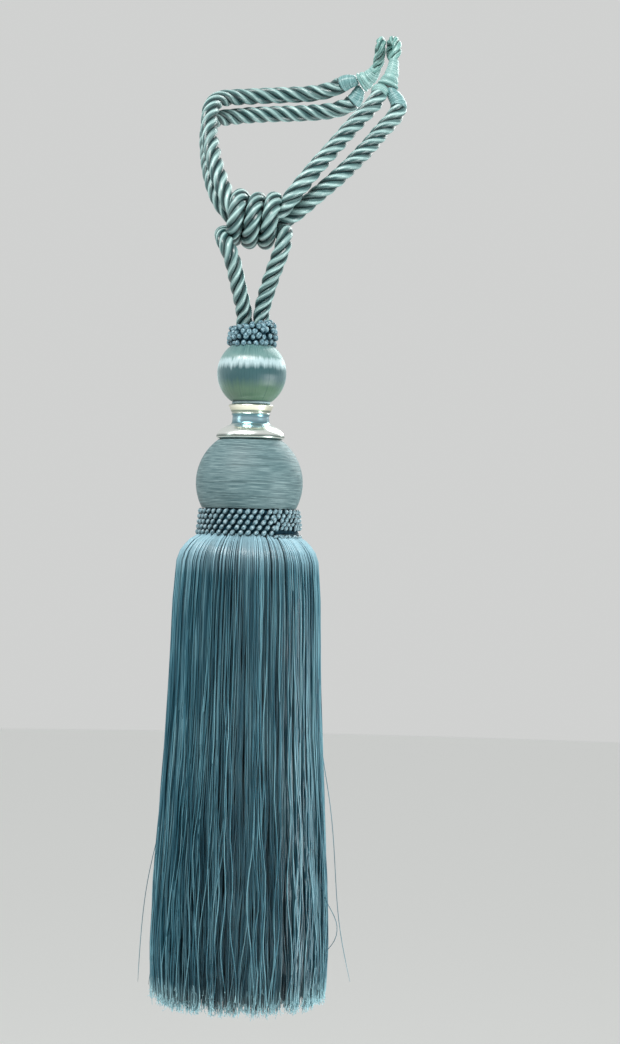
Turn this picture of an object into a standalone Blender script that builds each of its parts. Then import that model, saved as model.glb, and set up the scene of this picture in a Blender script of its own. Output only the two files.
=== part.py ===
"""A curtain tieback: two twisted ropes bent round side by side, with a tassel tied on in front.

Metres, +Z up. X runs to the right as the tieback is seen from the room, Y runs away from the room, and the
origin is under the crowns of the two hanging loops, where they bear. The tables below are in millimetres.
"""
import math
import random

import bmesh
import bpy
import numpy as np
from mathutils import Vector

MM = 0.001
GAP = 0.0003            # between pieces that touch on the real tieback

# Driving sizes, in metres.
ROPE_D = 0.0080         # each of the two thick ropes
CORD_D = 0.0077         # the rope that the tassel hangs on
EYE_D = 0.0046          # the thin cord of a hanging loop
ROPE_LAY = 0.0282       # one whole turn of the ropes' four strands
CORD_LAY = 0.0250
EYE_LAY = 0.0170
ROPE_STRANDS = 4
EYE_STRANDS = 3
GROOVE = 0.20           # depth of the groove between two strands, in rope radii

TASSEL_X = -0.0598      # the tassel's upright axis
TASSEL_Y = -0.0400
KNOT_X = -0.0508        # where the knot's first turn starts
KNOT_Z = -0.0905        # middle of the knot
KNOT_HALF_DEPTH = 0.0126
KNOT_HALF_HEIGHT = 0.0094
KNOT_TURNS = 2.45       # from the top of the first front turn to the foot of the last
KNOT_PITCH = 0.0077
KNOT_RISE = 0.0022      # how far each turn climbs once the ropes bend up to the left
KNOT_RISE_FROM = 1.4    # turns
KNOT_STEPS = 20

RUFF_TOP = -0.1384
BALL_1_Z = -0.1607
BALL_1_R = 0.0159
BALL_1_CUT = 0.0128     # from the ball's middle up and down to its flat ends
COLLAR_TOP = -0.1751
BALL_2_Z = -0.2111
BALL_2_R = 0.0246
BALL_2_CUT_TOP = 0.0199
BALL_2_CUT_FOOT = 0.0118
BAND_TOP_R = 0.0222
BAND_FOOT_R = 0.0233
BAND_H = 0.0119
SKIRT_FOOT = -0.4500

# Routes of the cords' centre lines: x, y, z in millimetres.
UPPER_ROUTE = (
    (-2.1, -10.8, -21.2), (-2.5, -11.2, -22.4), (-3.4, -12.7, -25.4), (-5.4, -15.4, -29.8),
    (-9.5, -19.0, -35.3), (-16.5, -24.0, -43.9), (-23.8, -29.5, -53.4), (-30.6, -35.0, -62.4),
    (-37.3, -39.8, -71.4), (-41.8, -42.2, -77.6), (-46.0, -43.6, -83.4), (-52.0, -44.0, -88.6),
    (-59.6, -44.0, -90.4), (-66.2, -43.8, -88.8), (-71.0, -42.4, -84.0), (-73.7, -40.0, -78.4),
    (-76.6, -35.6, -71.2), (-79.1, -31.0, -63.7), (-81.2, -25.0, -55.6), (-82.8, -18.5, -47.3),
    (-83.3, -11.5, -38.3), (-82.5, -3.0, -30.6), (-78.5, 7.0, -25.6), (-70.0, 15.0, -23.0),
    (-58.0, 20.0, -21.2), (-44.0, 21.8, -20.0), (-31.0, 19.6, -18.8), (-22.0, 14.6, -16.6),
    (-17.6, 12.0, -15.0), (-14.7, 10.9, -14.5), (-13.6, 10.4, -14.0),
)
LOWER_ROUTE = (
    (3.0, -10.8, -22.7), (2.8, -11.1, -23.9), (4.4, -11.2, -27.0), (6.0, -12.0, -31.0),
    (3.8, -14.2, -36.6), (-0.9, -17.0, -42.6), (-7.4, -22.0, -51.4), (-14.3, -26.5, -59.6),
    (-22.1, -30.6, -68.0), (-29.4, -33.4, -75.0), (-36.7, -35.2, -81.8), (-43.2, -36.0, -87.2),
    (-51.0, -36.2, -90.8), (-59.6, -36.2, -92.0), (-66.6, -36.0, -90.8), (-71.0, -34.8, -87.6),
    (-74.4, -33.0, -83.6), (-77.6, -29.8, -78.2), (-80.0, -25.6, -72.0), (-82.0, -20.4, -65.0),
    (-83.6, -12.0, -53.6), (-84.2, -3.2, -42.2), (-82.4, 4.8, -36.6), (-77.6, 11.4, -34.0),
    (-70.0, 16.4, -32.0), (-58.0, 20.2, -30.2), (-44.0, 22.0, -29.2), (-30.0, 20.6, -28.2),
    (-20.0, 17.8, -26.4), (-13.8, 15.2, -22.2), (-11.9, 13.9, -18.6), (-10.9, 13.4, -17.8),
)
RIGHT_LEG = (
    (-56.1, -40.6, -137.6), (-56.0, -41.0, -133.4), (-54.4, -43.4, -126.0), (-51.6, -46.4, -117.0),
    (-48.5, -48.8, -108.6), (-46.5, -49.6, -102.0), (-46.2, -47.0, -97.2), (-46.4, -41.0, -95.8),
    (-46.8, -34.6, -95.6), (-47.8, -29.4, -93.4),
)
LEFT_LEG = (
    (-70.0, -32.4, -97.4), (-72.2, -29.2, -95.6), (-74.2, -32.0, -95.6), (-74.5, -38.4, -97.2),
    (-74.0, -45.0, -99.2), (-72.7, -49.8, -102.4), (-70.9, -52.0, -106.4), (-69.3, -51.2, -111.0),
    (-67.6, -49.0, -117.4), (-65.6, -45.6, -125.8), (-63.9, -41.4, -133.4), (-63.6, -40.6, -137.6),
)
FRONT_EYE = (
    (3.5, -9.9, -7.4), (4.4, -9.5, -4.8), (4.7, -7.6, -1.0), (3.5, -4.0, 1.8), (2.6, -0.2, 2.4),
    (2.1, 3.4, 0.6), (2.2, 3.2, -2.8), (2.9, -0.6, -5.6), (3.2, -4.3, -6.6), (3.4, -5.1, -8.3),
)
BACK_EYE = (
    (-4.0, 4.4, -9.0), (-3.4, 3.6, -7.6), (-2.8, 0.0, -4.8), (-2.6, -3.2, -1.2), (-2.6, -1.2, 1.9),
    (-2.8, 2.2, 2.3), (-3.2, 5.8, 0.4), (-3.6, 7.9, -3.4), (-3.9, 8.6, -6.5),
)

# Each end's thread-wound pieces. Stations along the centre line: x, y, z, half width, half depth, all mm.
STATION = ("x", "y", "z", "half_width", "half_depth")
WHIPPINGS = {
    "whipping_front": (
        (3.4, -7.6, -8.6, 2.4, 4.9), (2.8, -8.6, -13.6, 3.0, 4.6), (1.6, -9.8, -18.2, 4.1, 4.2),
        (0.6, -10.6, -21.4, 5.2, 3.9),
    ),
    "whipping_back": (
        (-4.4, 7.0, -8.6, 2.5, 4.7), (-5.9, 8.6, -11.4, 3.1, 4.4), (-8.6, 10.2, -13.9, 4.2, 4.0),
        (-11.6, 11.5, -15.5, 5.2, 3.7),
    ),
}
# Length of the wound stretch at the front and the back end of each rope, and its half width at the whipping.
WRAPS = {"upper": (0.0055, 0.0080), "lower": (0.0100, 0.0080)}
WRAP_TIP = 0.0023

RUFF_R = 0.0112
RUFF_BOBBLES = 14       # in each of its rows
RUFF_ROWS = 4
# The ruff's outline down its height, as shares of its radius: an edge and a middle for each row of bobbles.
RUFF_BULGE = (0.86, 1.0, 1.0, 0.98, 0.98, 0.94, 0.92, 0.88, 0.82)
BAND_STITCHES = 36
BAND_ROWS = 6
RAISED = 0.0008         # how far a bobble or a stitch stands out, and how far the gaps sink
SUNK = -0.0007

# The collar's outline down to the big ball: radius and drop below its top.
COLLAR_OUTLINE = (
    (0.0100, 0.0), (0.0104, 0.0007), (0.0086, 0.0040), (0.0088, 0.0085), (0.0104, 0.0098),
    (0.0140, 0.0118), (0.0156, 0.0140), (0.0156, 0.0152), (0.0146, 0.0158),
)
# The neck ring's outline: radius and share of the ring's height.
NECK_RING_OUTLINE = ((0.0084, 0.0), (0.0092, 0.5), (0.0084, 1.0))

# The skirt's outline from its head down: drop below the band and radius, mm.
SKIRT_OUTLINE = (
    (0.0, 23.2), (2.5, 26.6), (6.5, 30.2), (11.0, 32.0), (29.5, 33.4), (75.0, 34.6),
    (122.0, 37.0), (160.0, 39.2), (191.0, 39.6), (214.0, 37.8),
)
# Rings of strands from the outside in: how many, the radius of their roots, how wide they hang against the
# outline, and the drops at which each strand bends.
RING_COLUMNS = ("count", "root_radius", "spread", "drops")
SKIRT_RINGS = (
    (96, 22.0, 1.00, (4.5, 12.0, 70.0, 150.0)),
    (60, 16.5, 0.80, (12.0, 110.0)),
    (28, 9.5, 0.48, (12.0, 110.0)),
)
HEAD_H = 0.0018         # thickness of the sewn head that the strands hang from
STRAND_R = 0.00092      # a strand's corner from its middle, once it is clear of its root
ROOT_SCALE = 0.68
STRAND_STAGGER = 0.0011 # between neighbouring strands, in and out
STRAND_INSET = 0.0006   # of a ring's middle inside the outline


def clear_scene():
    for obj in list(bpy.data.objects):
        bpy.data.objects.remove(obj, do_unlink=True)


def material(name, colour, roughness, metallic=0.0):
    mat = bpy.data.materials.new(name)
    mat.use_nodes = True
    shader = mat.node_tree.nodes["Principled BSDF"]
    shader.inputs["Base Color"].default_value = (*colour, 1.0)
    shader.inputs["Roughness"].default_value = roughness
    shader.inputs["Metallic"].default_value = metallic
    mat.diffuse_color = (*colour, 1.0)
    return mat


def add_mesh(name, bm, mat):
    """Make one named object from a bmesh, in world coordinates."""
    bmesh.ops.recalc_face_normals(bm, faces=bm.faces)
    mesh = bpy.data.meshes.new(name)
    bm.to_mesh(mesh)
    bm.free()
    mesh.materials.append(mat)
    mesh.shade_smooth()
    mesh.set_sharp_from_angle(angle=math.radians(40.0))
    obj = bpy.data.objects.new(name, mesh)
    bpy.context.collection.objects.link(obj)
    return obj


def smooth_route(points, step, skip=0.0, leave=0.0):
    """Points every step along the natural cubic spline through the given points, which are in mm.

    The run starts skip along the line and ends leave before its end, both in metres. With the points come
    the line's directions there.
    """
    knots = np.array(points, dtype=float) * MM
    chord = np.linalg.norm(np.diff(knots, axis=0), axis=1)
    at = np.concatenate(([0.0], np.cumsum(chord)))
    count = len(knots)
    system = np.zeros((count, count))
    right = np.zeros((count, knots.shape[1]))
    system[0, 0] = system[-1, -1] = 1.0
    for i in range(1, count - 1):
        system[i, i - 1:i + 2] = chord[i - 1], 2.0 * (chord[i - 1] + chord[i]), chord[i]
        right[i] = 6.0 * ((knots[i + 1] - knots[i]) / chord[i] - (knots[i] - knots[i - 1]) / chord[i - 1])
    bend = np.linalg.solve(system, right)

    def sample(t):
        i = min(max(int(np.searchsorted(at, t)) - 1, 0), count - 2)
        h, a, b = chord[i], at[i + 1] - t, t - at[i]
        return ((bend[i] * a ** 3 + bend[i + 1] * b ** 3) / (6.0 * h)
                + (knots[i] / h - bend[i] * h / 6.0) * a + (knots[i + 1] / h - bend[i + 1] * h / 6.0) * b)

    fine = np.array([sample(t) for t in np.linspace(0.0, at[-1], 60 * count)])
    run = np.concatenate(([0.0], np.cumsum(np.linalg.norm(np.diff(fine, axis=0), axis=1))))
    length = run[-1] - skip - leave
    stations = np.linspace(skip, skip + length, max(2, round(length / step)) + 1)
    slope = np.gradient(fine[:, :3], axis=0)
    pick = [np.interp(stations, run, column) for column in (*fine.T, *slope.T)]
    return np.column_stack(pick[:-3]), np.column_stack(pick[-3:])


def frames(centres, heads, side=Vector((1.0, 0.0, 0.0))):
    """A side and an up direction at each centre, carried along the line without turning about it."""
    result = []
    for centre, head in zip(centres, heads):
        ahead = Vector(head).normalized()
        side = (side - ahead * side.dot(ahead)).normalized()
        result.append((Vector(centre[:3]), side, ahead.cross(side)))
    return result


def loft(name, rings, mat):
    """One closed solid through rings of points, with a flat cap at each end."""
    bm = bmesh.new()
    loops = [[bm.verts.new(p) for p in ring] for ring in rings]
    for below, above in zip(loops, loops[1:]):
        for i in range(len(below)):
            j = (i + 1) % len(below)
            bm.faces.new((below[i], below[j], above[j], above[i]))
    bm.faces.new(loops[0])
    bm.faces.new(loops[-1])
    return add_mesh(name, bm, mat)


def pressed(reach, direction, centre, neighbours):
    """How far the rope's side gets before it is halfway to a neighbour, since soft ropes flatten together."""
    for centres in neighbours:
        apart = centres - centre
        distance = np.linalg.norm(apart, axis=1)
        near = distance < 2.0 * ROPE_D
        towards = apart[near] @ direction / distance[near]
        facing = towards > 0.05
        if facing.any():
            room = (distance[near][facing] - GAP) / 2.0 / towards[facing]
            reach = min(reach, float(room.min()))
    return reach


def twisted_rope(name, line, diameter, strands, lay, mat, neighbours=()):
    """A rope of the given strands laid up right-handed round the centre line."""
    rings = []
    centres, heads = line
    runs = np.concatenate(([0.0], np.cumsum(np.linalg.norm(np.diff(centres, axis=0), axis=1))))
    corners = 2 * strands
    for run, (point, side, up) in zip(runs, frames(centres, heads)):
        others = [*neighbours, centres[np.abs(runs - run) > 2.2 * diameter]]
        ring = []
        for corner in range(corners):
            angle = 2.0 * math.pi * (run / lay + corner / corners)
            direction = side * math.cos(angle) + up * math.sin(angle)
            reach = diameter / 2.0 * (1.0 if corner % 2 == 0 else 1.0 - GROOVE)
            reach = pressed(reach, np.array(direction), np.array(point), others)
            ring.append(point + direction * reach)
        rings.append(ring)
    return loft(name, rings, mat)


def wound_piece(name, stations, mat, step=0.0022, corners=16):
    """A thread-wound piece of oval section, swept along its stations."""
    swept, heads = smooth_route(stations, step)
    rings = []
    for (point, side, up), row in zip(frames(swept, heads), swept):
        sizes = dict(zip(STATION, row))
        wide, deep = side * sizes["half_width"], up * sizes["half_depth"]
        rings.append([point + wide * math.cos(a) + deep * math.sin(a)
                      for a in (2.0 * math.pi * c / corners for c in range(corners))])
    return loft(name, rings, mat)


def wrap(name, line, widening, mat, corners=16):
    """Thread wound round a rope's end, narrow at the whipping and full where the bare rope starts."""
    rings = []
    last = len(line[0]) - 1
    for i, (point, side, up) in enumerate(frames(*line)):
        i = i if widening else last - i
        reach = WRAP_TIP + (ROPE_D / 2.0 - 0.0001 - WRAP_TIP) * i / last
        rings.append([point + (side * math.cos(a) + up * math.sin(a)) * reach
                      for a in (2.0 * math.pi * c / corners for c in range(corners))])
    return loft(name, rings, mat)


def embrace_rope(label, route, neighbours, rope_mat, wound_mat):
    """One of the two thick ropes, with its two wound ends."""
    front, back = WRAPS[label]
    whole = smooth_route(route, 0.001)[0]
    length = float(np.linalg.norm(np.diff(whole, axis=0), axis=1).sum())
    step = 0.0011
    wrap("wrap_front_" + label, smooth_route(route, step, 0.0, length - front), True, wound_mat)
    wrap("wrap_back_" + label, smooth_route(route, step, length - back), False, wound_mat)
    bare = smooth_route(route, ROPE_LAY / 8.0, front + GAP, back + GAP)
    twisted_rope("embrace_rope_" + label, bare, ROPE_D, ROPE_STRANDS, ROPE_LAY, rope_mat, neighbours)


def turned(name, profile, mat, corners=32, relief=None):
    """A solid turned about the tassel's axis from (radius, z) pairs, top to bottom, with optional relief."""
    rings = []
    for row, (radius, z) in enumerate(profile):
        ring = []
        for c in range(corners):
            angle = 2.0 * math.pi * c / corners
            reach = radius + (relief(row, c) if relief else 0.0)
            ring.append(Vector((TASSEL_X + reach * math.cos(angle), TASSEL_Y + reach * math.sin(angle), z)))
        rings.append(ring)
    return loft(name, rings, mat)


def ball_profile(middle, radius, cut_top, cut_foot, rows):
    start = math.acos(cut_top / radius)
    end = math.pi - math.acos(cut_foot / radius)
    return [(radius * math.sin(a), middle + radius * math.cos(a))
            for a in (start + (end - start) * i / rows for i in range(rows + 1))]


def tassel_cord_line():
    """Up the right leg, round the two ropes in two and a half turns, and down the left leg."""
    turns = []
    for i in range(KNOT_STEPS + 1):
        t = KNOT_TURNS * i / KNOT_STEPS
        angle = 2.0 * math.pi * t
        x = KNOT_X - KNOT_PITCH * t
        middle = KNOT_Z + KNOT_RISE * max(0.0, t - KNOT_RISE_FROM)
        turns.append((x / MM, (TASSEL_Y - KNOT_HALF_DEPTH * math.sin(angle)) / MM,
                      (middle + KNOT_HALF_HEIGHT * math.cos(angle)) / MM))
    return smooth_route(RIGHT_LEG + tuple(turns) + LEFT_LEG, CORD_LAY / 8.0)


def make_ruff(mat):
    """Looped yarn gathered round the cord's legs, as rows of small bobbles."""
    height = RUFF_TOP - (BALL_1_Z + BALL_1_CUT) - GAP
    rows = 2 * RUFF_ROWS
    profile = [(RUFF_R * RUFF_BULGE[i], RUFF_TOP - height * i / rows) for i in range(rows + 1)]

    def relief(row, column):
        return RAISED if row % 2 == 1 and (column + row // 2) % 2 == 0 else SUNK

    turned("ruff", profile, mat, corners=2 * RUFF_BOBBLES, relief=relief)


def make_braid_band(mat):
    """A band of slanted stitches, wound once round the skirt's head."""
    top = BALL_2_Z - BALL_2_CUT_FOOT - GAP
    shares = [i / BAND_ROWS for i in range(BAND_ROWS + 1)]
    profile = [(BAND_TOP_R + (BAND_FOOT_R - BAND_TOP_R) * share, top - BAND_H * share) for share in shares]

    def relief(row, column):
        return RAISED if (column + row) % 2 == 0 else SUNK

    turned("braid_band", profile, mat, corners=2 * BAND_STITCHES, relief=relief)


def skirt_radius(drop):
    drops, radii = zip(*SKIRT_OUTLINE)
    return float(np.interp(drop, drops, radii))


def strand_ring(radius, angle, z, scale=1.0):
    """Three corners of a strand whose middle is at the radius and angle."""
    middle = Vector((TASSEL_X + radius * math.cos(angle), TASSEL_Y + radius * math.sin(angle), z))
    return [middle + Vector((math.cos(angle + a), math.sin(angle + a), 0.0)) * (STRAND_R * scale)
            for a in (0.0, 2.0 * math.pi / 3.0, 4.0 * math.pi / 3.0)]


def add_strand(bm, row, angle, k, head_foot, rng):
    """One closed three-sided strand, from inside the head down to its cut end."""
    stagger = STRAND_STAGGER * (0.5 if k % 2 else -0.5) - STRAND_INSET
    foot_drop = (head_foot - SKIRT_FOOT) / MM - rng.uniform(0.0, 5.0) - 3.5 * (k % 3 == 0)
    root = strand_ring(row["root_radius"] * MM, angle, head_foot + HEAD_H / 2.0, ROOT_SCALE)
    below = [bm.verts.new(p) for p in root]
    bm.faces.new(below)
    for i, drop in enumerate((*row["drops"], foot_drop)):
        radius = skirt_radius(drop) * row["spread"] * MM + stagger * min(1.0, drop / 12.0)
        sway = rng.uniform(-1.0, 1.0) * 0.0002 / radius * (i > 0)
        above = [bm.verts.new(p) for p in strand_ring(radius, angle + sway, head_foot - drop * MM)]
        for a in range(3):
            b = (a + 1) % 3
            bm.faces.new((below[a], below[b], above[b], above[a]))
        below = above
    bm.faces.new(below)


def make_skirt(mat):
    """The sewn head, and strands that hang from its underside in three rings."""
    rng = random.Random(7)
    head_top = BALL_2_Z - BALL_2_CUT_FOOT - BAND_H - 2.0 * GAP
    head_foot = head_top - HEAD_H
    strands = bmesh.new()
    rows = [dict(zip(RING_COLUMNS, row)) for row in SKIRT_RINGS]
    for row in rows:
        for k in range(row["count"]):
            add_strand(strands, row, 2.0 * math.pi * k / row["count"], k, head_foot, rng)
    hanging = add_mesh("skirt_strands", strands, mat)
    hanging.hide_render = True
    hanging.display_type = "WIRE"
    rim = max(row["root_radius"] for row in rows) * MM
    head = turned("skirt", ((rim - 0.0008, head_top), (rim + 0.0008, head_foot)), mat, corners=36)
    join = head.modifiers.new("strands", "BOOLEAN")
    join.operation = "UNION"
    join.solver = "EXACT"
    join.object = hanging


def build():
    clear_scene()
    rope_satin = material("rope_satin", (0.42, 0.60, 0.61), 0.38)
    wound_satin = material("wound_satin", (0.33, 0.48, 0.50), 0.42)
    polished_metal = material("polished_metal", (0.78, 0.78, 0.76), 0.16, 1.0)
    braid_yarn = material("braid_yarn", (0.30, 0.46, 0.54), 0.55)
    skirt_yarn = material("skirt_yarn", (0.17, 0.32, 0.38), 0.50)

    upper = smooth_route(UPPER_ROUTE, 0.002)[0]
    lower = smooth_route(LOWER_ROUTE, 0.002)[0]
    cord = tassel_cord_line()
    embrace_rope("upper", UPPER_ROUTE, (lower, cord[0]), rope_satin, wound_satin)
    embrace_rope("lower", LOWER_ROUTE, (upper, cord[0]), rope_satin, wound_satin)
    twisted_rope("tassel_cord", cord, CORD_D, ROPE_STRANDS, CORD_LAY, rope_satin, (upper, lower))
    front_eye = smooth_route(FRONT_EYE, EYE_LAY / 8.0)
    back_eye = smooth_route(BACK_EYE, EYE_LAY / 8.0)
    twisted_rope("hanging_loop_front", front_eye, EYE_D, EYE_STRANDS, EYE_LAY, rope_satin, (back_eye[0],))
    twisted_rope("hanging_loop_back", back_eye, EYE_D, EYE_STRANDS, EYE_LAY, rope_satin, (front_eye[0],))
    for name, stations in WHIPPINGS.items():
        wound_piece(name, stations, wound_satin)

    make_ruff(braid_yarn)
    turned("small_ball", ball_profile(BALL_1_Z, BALL_1_R, BALL_1_CUT, BALL_1_CUT, 10), wound_satin)
    ring_top = BALL_1_Z - BALL_1_CUT - GAP
    ring_foot = COLLAR_TOP + GAP
    ring = [(radius, ring_top + (ring_foot - ring_top) * share) for radius, share in NECK_RING_OUTLINE]
    turned("neck_ring", ring, braid_yarn)
    collar = [(radius, COLLAR_TOP - drop) for radius, drop in COLLAR_OUTLINE]
    turned("collar", collar, polished_metal, corners=40)
    turned("big_ball", ball_profile(BALL_2_Z, BALL_2_R, BALL_2_CUT_TOP, BALL_2_CUT_FOOT, 11), wound_satin)
    make_braid_band(braid_yarn)
    make_skirt(skirt_yarn)


build()
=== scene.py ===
"""A curtain tieback with a tassel: two twisted satin ropes, and a tassel tied on in front of them.

Metres. X runs to the right as the tieback is seen from the room, Y away from the room, Z up, and the origin
is under the crowns of the two hanging loops, where they bear. The sections follow the tieback as it is put
together.
"""
import math
import random

import bpy
import numpy as np
from mathutils import Matrix, Vector


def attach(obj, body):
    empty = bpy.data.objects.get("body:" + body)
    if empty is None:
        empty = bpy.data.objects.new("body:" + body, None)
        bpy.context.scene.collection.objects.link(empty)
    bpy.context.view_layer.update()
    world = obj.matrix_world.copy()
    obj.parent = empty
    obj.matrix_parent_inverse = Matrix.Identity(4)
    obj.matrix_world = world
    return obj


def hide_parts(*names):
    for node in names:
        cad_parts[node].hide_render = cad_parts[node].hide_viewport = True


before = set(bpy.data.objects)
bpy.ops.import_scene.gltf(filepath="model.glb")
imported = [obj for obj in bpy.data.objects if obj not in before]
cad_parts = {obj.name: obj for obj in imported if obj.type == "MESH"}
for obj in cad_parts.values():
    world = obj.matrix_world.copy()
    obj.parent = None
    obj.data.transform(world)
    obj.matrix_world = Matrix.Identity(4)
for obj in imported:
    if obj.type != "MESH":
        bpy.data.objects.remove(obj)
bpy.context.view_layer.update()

# The room: the camera stands a metre in front of the tassel, level with its balls and turned by a degree. A
# wide soft light hangs high in front, weaker ones stand at the right, at the left and behind, and a round
# pale floor lies well below.
TASSEL_X = -0.0598
TASSEL_Y = -0.0400
CAMERA_BACK = 1.0
CAMERA_AT = (-0.0315, TASSEL_Y - CAMERA_BACK, -0.2284)
FRAME_TALL = 0.4802     # what the frame's height covers at the tassel
CAMERA_SWING = math.radians(1.29)
SENSOR = 24.0
FLOOR_Z = -1.30
FLOOR_R = 10.0
FLOOR_SIDES = 96
FLOOR_SHADE = (0.92, 0.93, 0.92, 1.0)
ROOM_SHADE = (0.96, 0.97, 0.96, 1.0)
ROOM_LIGHT = 0.66
SOFT_LIGHTS = (     # name, place, what it points at, width and height, watts, colour
    ("light_high_front", (-0.48, -0.92, 1.00), (-0.06, -0.04, -0.22), (1.0, 0.30), 33.0, (1.0, 0.99, 0.97)),
    ("light_right", (1.00, -0.50, -0.58), (-0.06, -0.04, -0.40), (0.4, 0.7), 13.0, (0.93, 1.0, 0.99)),
    ("light_left", (-1.20, -0.30, 0.25), (-0.06, -0.04, -0.10), (0.3, 0.9), 2.0, (0.98, 1.0, 1.0)),
    ("light_back", (0.55, 0.85, 0.45), (-0.06, -0.04, -0.22), (0.7, 0.9), 11.0, (0.95, 1.0, 0.98)),
)

lens = bpy.data.cameras.new("room_camera")
lens.sensor_fit = "VERTICAL"
lens.sensor_height = SENSOR
lens.lens = SENSOR * CAMERA_BACK / FRAME_TALL
camera = bpy.data.objects.new("room_camera", lens)
bpy.context.collection.objects.link(camera)
camera.matrix_world = (Matrix.Translation(CAMERA_AT) @ Matrix.Rotation(math.radians(90.0), 4, "X")
                       @ Matrix.Rotation(CAMERA_SWING, 4, "Z"))
bpy.context.scene.camera = camera
bpy.context.scene.view_settings.view_transform = "Standard"

for name, at, aim, size, power, colour in SOFT_LIGHTS:
    lamp = bpy.data.lights.new(name, "AREA")
    lamp.shape = "RECTANGLE"
    lamp.size, lamp.size_y = size
    lamp.energy = power
    lamp.color = colour
    holder = bpy.data.objects.new(name, lamp)
    bpy.context.collection.objects.link(holder)
    holder.location = at
    holder.rotation_euler = (Vector(aim) - Vector(at)).to_track_quat("-Z", "Y").to_euler()

world = bpy.data.worlds.new("pale_room")
bpy.context.scene.world = world
world.use_nodes = True
room = world.node_tree.nodes["Background"]
room.inputs["Color"].default_value = ROOM_SHADE
room.inputs["Strength"].default_value = ROOM_LIGHT

floor_mesh = bpy.data.meshes.new("floor")
rim = [math.tau * k / FLOOR_SIDES for k in range(FLOOR_SIDES)]
floor_mesh.from_pydata([(FLOOR_R * math.cos(a), FLOOR_R * math.sin(a), FLOOR_Z) for a in rim], [],
                       [tuple(range(FLOOR_SIDES))])
floor = bpy.data.objects.new("floor", floor_mesh)
bpy.context.collection.objects.link(floor)
floor_paint = bpy.data.materials.new("floor_paint")
floor_paint.use_nodes = True
floor_shader = floor_paint.node_tree.nodes["Principled BSDF"]
floor_shader.inputs["Base Color"].default_value = FLOOR_SHADE
floor_shader.inputs["Roughness"].default_value = 0.9
floor_mesh.materials.append(floor_paint)


# The two thick ropes: satin cord of four strands laid up right-handed, soft enough to flatten where they lie
# against each other. Their routes are the solids' own centre lines.


def metres(*rows):
    """A table of points that is written in tenths of a millimetre."""
    return tuple(tuple(tenths / 10000.0 for tenths in row) for row in rows)


ROPE_D = 0.0080
ROPE_LAYS = {"upper": 0.0296, "lower": 0.0258}   # one full twist of the strands
PRESS_GAP = 0.0003      # between ropes that press on each other
UPPER_ROUTE = metres(
    (-21, -108, -212), (-25, -112, -224), (-34, -127, -254), (-54, -154, -298), (-95, -190, -353),
    (-165, -240, -439), (-238, -295, -534), (-306, -350, -624), (-373, -398, -714), (-418, -422, -776),
    (-460, -436, -834), (-520, -440, -886), (-596, -440, -904), (-662, -438, -888), (-710, -424, -840),
    (-737, -400, -784), (-766, -356, -712), (-791, -310, -637), (-812, -250, -556), (-828, -185, -473),
    (-833, -115, -383), (-825, -30, -306), (-785, 70, -256), (-700, 150, -230), (-580, 200, -212),
    (-440, 218, -200), (-310, 196, -188), (-220, 146, -166), (-176, 120, -150), (-147, 109, -145),
    (-136, 104, -140),
)
LOWER_ROUTE = metres(
    (30, -108, -227), (28, -111, -239), (44, -112, -270), (60, -120, -310), (38, -142, -366),
    (-9, -170, -426), (-74, -220, -514), (-143, -265, -596), (-221, -306, -680), (-294, -334, -750),
    (-367, -352, -818), (-432, -360, -872), (-510, -362, -908), (-596, -362, -920), (-666, -360, -908),
    (-710, -348, -876), (-744, -330, -836), (-776, -298, -782), (-800, -256, -720), (-820, -204, -650),
    (-836, -120, -536), (-842, -32, -422), (-824, 48, -366), (-776, 114, -340), (-700, 164, -320),
    (-580, 202, -302), (-440, 220, -292), (-300, 206, -282), (-200, 178, -264), (-138, 152, -222),
    (-119, 139, -186), (-109, 134, -178),
)
WRAP_LENGTHS = {"upper": (0.0055, 0.0080), "lower": (0.0100, 0.0080)}  # wound over at the front and the back
FINE_STEP = 0.0009      # between a rope's rings of points
CORE_STEP = 0.0010
STRAND_COLUMNS = 12
# A strand's oval section inside a rope of unit radius, by how many strands there are: how far out its middle
# sits, and its half height and half width.
STRAND_OVALS = {4: (0.56, 0.44, 0.50), 3: (0.52, 0.48, 0.58)}
PLUMP_WAVES = ((0.018, 410.0, 2.1), (0.012, 1130.0, 4.3))   # how much, how often, step from strand to strand
STRAND_SHIFT = 61.0     # sets the shades of one strand apart from the next one's
OWN_TURNS = 2.2         # this many diameters along, the rope presses on its own other turns
CREASE = math.radians(50.0)


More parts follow.
